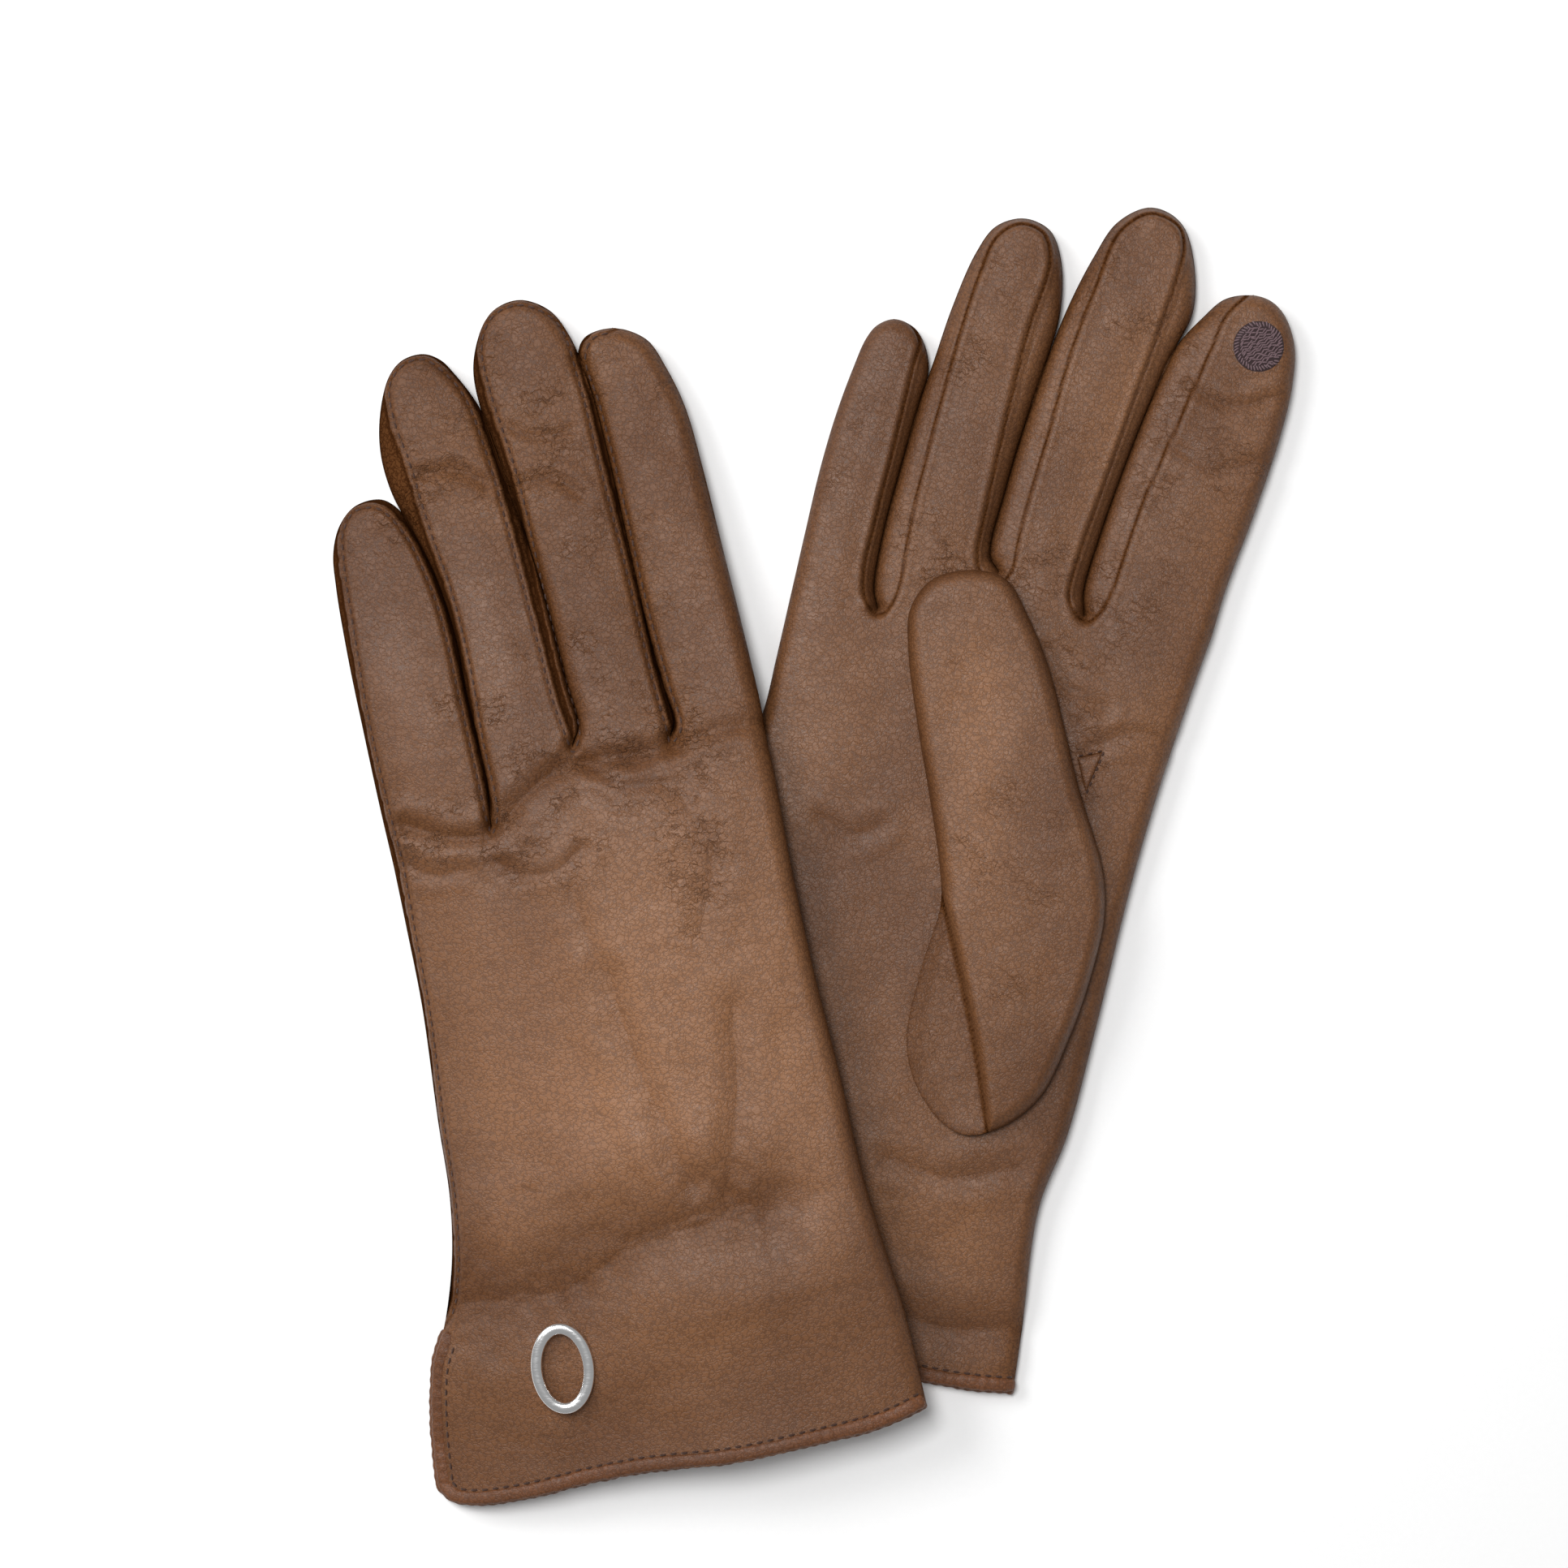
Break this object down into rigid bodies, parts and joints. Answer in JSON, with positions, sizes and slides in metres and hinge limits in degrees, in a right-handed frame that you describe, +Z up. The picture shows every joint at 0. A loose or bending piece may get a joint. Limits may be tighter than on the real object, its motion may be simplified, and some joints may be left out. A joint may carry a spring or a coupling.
{
  "type": "touchscreen gloves",
  "caption": "Pair of lined leather gloves laid one over the other, with bound vented cuffs and a conductive touch patch on the index fingertip.",
  "frame": {"origin": "centre of the pair's outline, on the surface that it lies on", "axes": "+X towards the right glove, +Y towards the fingertips, +Z up from the surface"},
  "size_m": [0.196, 0.2668, 0.0186],
  "materials": {
    "glove_leather": "soft sheen, fine grain",
    "gusset_leather": "soft sheen, fine grain",
    "binding_leather": "soft sheen, folded edge",
    "lining": "knitted, matt",
    "touch_thread": "embroidered, slight sheen",
    "ornament_metal": "polished",
    "backing_metal": "plain",
    "label_cloth": "woven tape"
  },
  "bodies": {
    "right_index_finger": {"right_index_fourchette_by_middle": "gusset_leather", "right_index_leather": "glove_leather", "right_index_lining": "lining", "right_touch_patch": "touch_thread"},
    "right_middle_finger": {"right_middle_fourchette_by_index": "gusset_leather", "right_middle_fourchette_by_ring": "gusset_leather", "right_middle_leather": "glove_leather", "right_middle_lining": "lining"},
    "right_ring_finger": {"right_ring_fourchette_by_middle": "gusset_leather", "right_ring_fourchette_by_pinky": "gusset_leather", "right_ring_leather": "glove_leather", "right_ring_lining": "lining"},
    "right_pinky_finger": {"right_pinky_fourchette_by_ring": "gusset_leather", "right_pinky_leather": "glove_leather", "right_pinky_lining": "lining"},
    "right_thumb": {"right_thumb_leather": "glove_leather", "right_thumb_lining": "lining"},
    "right_hand": {"right_back_leather": "glove_leather", "right_cuff_binding_back": "binding_leather", "right_cuff_binding_palm": "binding_leather", "right_fourchette_roots": "gusset_leather", "right_hand_lining": "lining", "right_outer_seam": "glove_leather", "right_palm_leather": "glove_leather", "right_thumb_base": "glove_leather", "right_thumb_quirk": "gusset_leather"},
    "left_index_finger": {"left_index_fourchette_by_middle": "gusset_leather", "left_index_leather": "glove_leather", "left_index_lining": "lining", "left_touch_patch": "touch_thread"},
    "left_middle_finger": {"left_middle_fourchette_by_index": "gusset_leather", "left_middle_fourchette_by_ring": "gusset_leather", "left_middle_leather": "glove_leather", "left_middle_lining": "lining"},
    "left_ring_finger": {"left_ring_fourchette_by_middle": "gusset_leather", "left_ring_fourchette_by_pinky": "gusset_leather", "left_ring_leather": "glove_leather", "left_ring_lining": "lining"},
    "left_pinky_finger": {"left_pinky_fourchette_by_ring": "gusset_leather", "left_pinky_leather": "glove_leather", "left_pinky_lining": "lining"},
    "left_thumb": {"left_thumb_leather": "glove_leather", "left_thumb_lining": "lining"},
    "left_hand": {"left_back_leather": "glove_leather", "left_care_label": "label_cloth", "left_cuff_binding_back": "binding_leather", "left_cuff_binding_palm": "binding_leather", "left_fourchette_roots": "gusset_leather", "left_hand_lining": "lining", "left_ornament_backing": "backing_metal", "left_ornament_ring": "ornament_metal", "left_outer_seam": "glove_leather", "left_palm_leather": "glove_leather", "left_thumb_base": "glove_leather", "left_thumb_quirk": "gusset_leather"}
  },
  "joints": [
    {"name": "left_glove_lift", "type": "slide", "parent": "right_hand", "child": "left_hand", "axis": [0, 0, 1], "range_m": [0, 0.12]},
    {"name": "right_index_fold", "type": "hinge", "parent": "right_hand", "child": "right_index_finger", "pos_m": [0.07247, 0.05781, 0.0072], "axis": [0.9521, -0.3057, 0], "range_deg": [0, 85]},
    {"name": "right_middle_fold", "type": "hinge", "parent": "right_hand", "child": "right_middle_finger", "pos_m": [0.0488, 0.06212, 0.0072], "axis": [0.9617, -0.274, 0], "range_deg": [0, 85]},
    {"name": "right_ring_fold", "type": "hinge", "parent": "right_hand", "child": "right_ring_finger", "pos_m": [0.02711, 0.063, 0.0072], "axis": [0.9755, -0.2198, 0], "range_deg": [0, 85]},
    {"name": "right_pinky_fold", "type": "hinge", "parent": "right_hand", "child": "right_pinky_finger", "pos_m": [0.00675, 0.06002, 0.0072], "axis": [0.9789, -0.2045, 0], "range_deg": [0, 85]},
    {"name": "right_thumb_unfold", "type": "hinge", "parent": "right_hand", "child": "right_thumb", "pos_m": [0.04301, -0.00607, 0.01375], "axis": [0.9848, 0.1736, 0], "range_deg": [0, 110]},
    {"name": "left_index_fold", "type": "hinge", "parent": "left_hand", "child": "left_index_finger", "pos_m": [-0.02356, 0.0452, 0.01185], "axis": [0.9678, 0.2515, -0.01], "range_deg": [0, 40]},
    {"name": "left_middle_fold", "type": "hinge", "parent": "left_hand", "child": "left_middle_finger", "pos_m": [-0.043, 0.04344, 0.01153], "axis": [0.9728, 0.2314, -0.0067], "range_deg": [0, 40]},
    {"name": "left_ring_fold", "type": "hinge", "parent": "left_hand", "child": "left_ring_finger", "pos_m": [-0.06214, 0.03451, 0.01236], "axis": [0.9687, 0.248, -0.0095], "range_deg": [0, 40]},
    {"name": "left_pinky_fold", "type": "hinge", "parent": "left_hand", "child": "left_pinky_finger", "pos_m": [-0.08136, 0.02728, 0.01246], "axis": [0.9665, 0.2249, 0.1236], "range_deg": [0, 40]},
    {"name": "left_thumb_droop", "type": "hinge", "parent": "left_hand", "child": "left_thumb", "pos_m": [-0.02278, -0.02039, 0.00865], "axis": [-0.788, -0.6157, 0], "range_deg": [0, 45]}
  ],
  "couplings": [
    {"joint": "left_thumb_droop", "follows": "left_glove_lift", "rad_per_m": 6}
  ]
}
